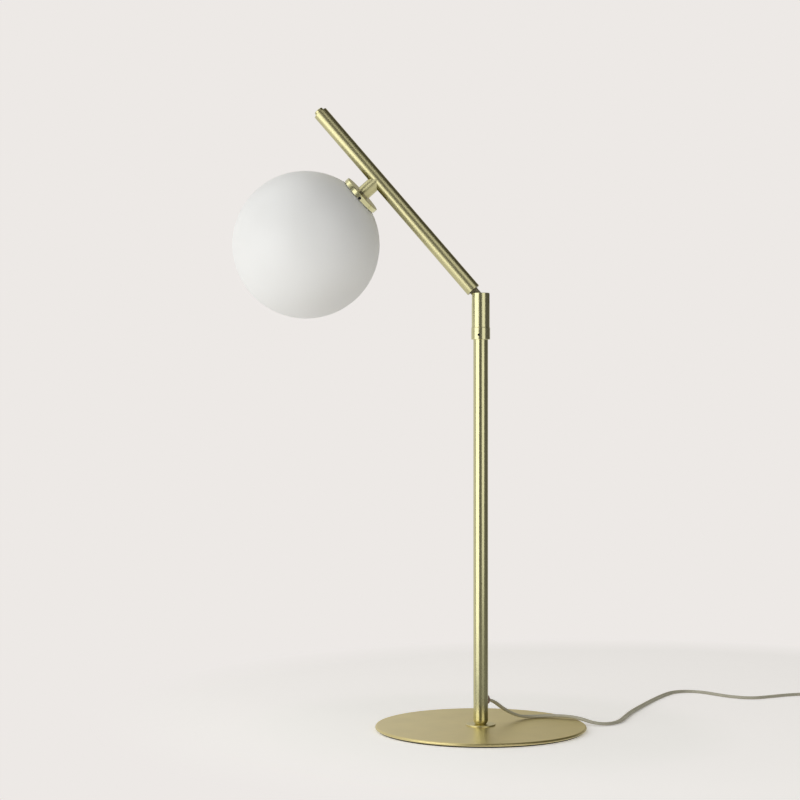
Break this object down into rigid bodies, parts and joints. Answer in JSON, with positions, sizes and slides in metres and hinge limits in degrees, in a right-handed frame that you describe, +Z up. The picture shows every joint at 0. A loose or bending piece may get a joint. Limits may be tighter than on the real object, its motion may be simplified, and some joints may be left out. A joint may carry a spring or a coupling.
{
  "type": "table lamp",
  "caption": "Table lamp with a round flat base, an upright pole, a swivelling and tilting arm and an opal glass globe held on a short tee.",
  "frame": {"origin": "centre of the base's flat underside, on the pole's axis", "axes": "+Z up along the pole; the arm leans towards -X, turned 8.5 degrees towards +Y; the viewer stands at -Y; the cord leaves towards +X"},
  "size_m": [0.768, 0.3869, 0.5925],
  "materials": {
    "satin_brass": "satin",
    "plated_base": "satin brass plate",
    "zinc_steel": "zinc plated",
    "dark_brass": "turned",
    "nylon": "natural",
    "grommet_rubber": "matt",
    "pad_foam": "matt",
    "silicone": "matt",
    "lead_sleeve": "matt",
    "cord_pvc": "smooth",
    "tie_plastic": "matt",
    "switch_plastic": "satin",
    "rocker_plastic": "satin",
    "contact_brass": "plain",
    "plug_plastic": "satin",
    "nickel": "polished",
    "opal_glass": "satin opal",
    "holder_ceramic": "plain",
    "bulb_glass": "frosted"
  },
  "bodies": {
    "stand": {"base_plate": "plated_base", "base_pad": "pad_foam", "foot_flange": "satin_brass", "pole_foot": "satin_brass", "base_screw": "zinc_steel", "pole_tube": "satin_brass", "cord_grommet": "grommet_rubber", "pole_lead": "lead_sleeve", "cord_clamp": "nylon", "pole_bush": "dark_brass", "stop_pin": "zinc_steel", "lock_ring": "satin_brass", "lock_screw": "zinc_steel", "switch_base": "switch_plastic", "switch_cover": "switch_plastic", "switch_screws": "zinc_steel", "switch_terminals": "contact_brass", "contact_strip": "contact_brass", "cord_run": "cord_pvc", "cord_coil": "cord_pvc", "coil_tie": "tie_plastic", "plug_body": "plug_plastic", "plug_relief": "plug_plastic", "plug_pins": "nickel"},
    "head": {"swivel_head": "satin_brass", "swivel_stem": "zinc_steel", "spring_washer": "zinc_steel", "stem_nut": "zinc_steel", "hinge_screw": "zinc_steel", "hinge_washers": "nylon"},
    "arm": {"arm_tongue": "dark_brass", "arm_tube": "satin_brass", "end_knob": "satin_brass", "tee_stub": "satin_brass", "stub_spacer": "satin_brass", "threaded_nipple": "zinc_steel", "holder_cup": "satin_brass", "holder_screws": "zinc_steel", "holder_nut": "zinc_steel", "neck_gasket": "silicone", "glass_globe": "opal_glass", "lampholder": "holder_ceramic", "bulb": "bulb_glass", "bulb_pins": "nickel", "arm_lead": "lead_sleeve"},
    "rocker": {"switch_rocker": "rocker_plastic"}
  },
  "joints": [
    {"name": "head_swivel", "type": "hinge", "parent": "stand", "child": "head", "pos_m": [0, 0, 0.3809], "axis": [0, 0, 1], "range_deg": [-160, 160]},
    {"name": "arm_tilt", "type": "hinge", "parent": "head", "child": "arm", "pos_m": [0, 0, 0.408], "axis": [0.1478, 0.989, 0], "range_deg": [-49, 40.5]},
    {"name": "switch_rock", "type": "hinge", "parent": "stand", "child": "rocker", "pos_m": [0.417, 0.205, 0.0144], "axis": [0, 1, 0], "range_deg": [0, 14]}
  ]
}
